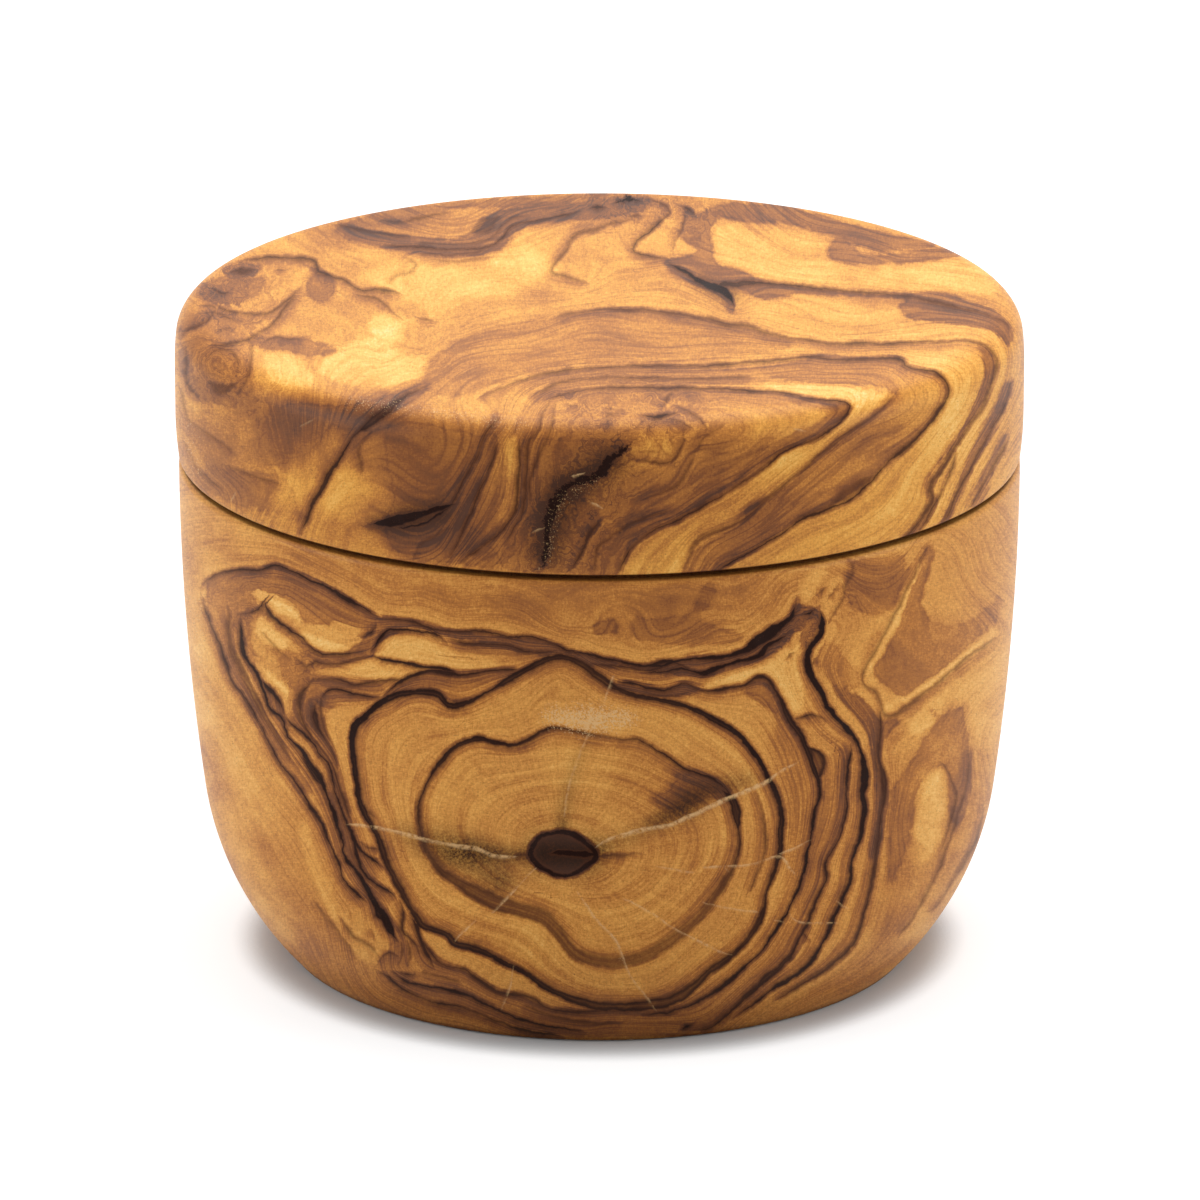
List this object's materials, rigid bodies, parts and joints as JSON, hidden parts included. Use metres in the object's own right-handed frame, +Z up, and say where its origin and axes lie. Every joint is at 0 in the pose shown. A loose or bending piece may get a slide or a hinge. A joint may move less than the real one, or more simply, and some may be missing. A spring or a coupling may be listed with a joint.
{
  "type": "salt box",
  "caption": "Round turned wooden salt box with a thick flat lid that swivels about a hidden upright pin at the back and is drawn home by a magnet at the front.",
  "frame": {"origin": "centre of the foot, on the surface that the box stands on", "axes": "+Z up along the axis that the bowl was turned about; -Y to the front, where the magnets are; +Y to the back, where the pivot pin is"},
  "size_m": [0.1, 0.1, 0.079],
  "materials": {
    "bowl_wood": "oiled olive wood, satin, with dark growth lines round a pith at the front",
    "lid_wood": "oiled olive wood, satin, with sweeping dark figure and a small burl",
    "steel": "ground stainless steel",
    "brass": "drawn brass tube, dull",
    "magnet": "nickel-plated, bright"
  },
  "bodies": {
    "base": {"bowl": "bowl_wood", "pivot_sleeve": "brass", "pivot_washer": "steel", "bowl_magnet": "magnet"},
    "lid_body": {"lid": "lid_wood", "pivot_pin": "steel", "lid_magnet": "magnet"}
  },
  "joints": [
    {"name": "lid_swivel", "type": "hinge", "parent": "base", "child": "lid_body", "pos_m": [0, 0.04485, 0.0605], "axis": [0, 0, 1], "continuous": true}
  ]
}
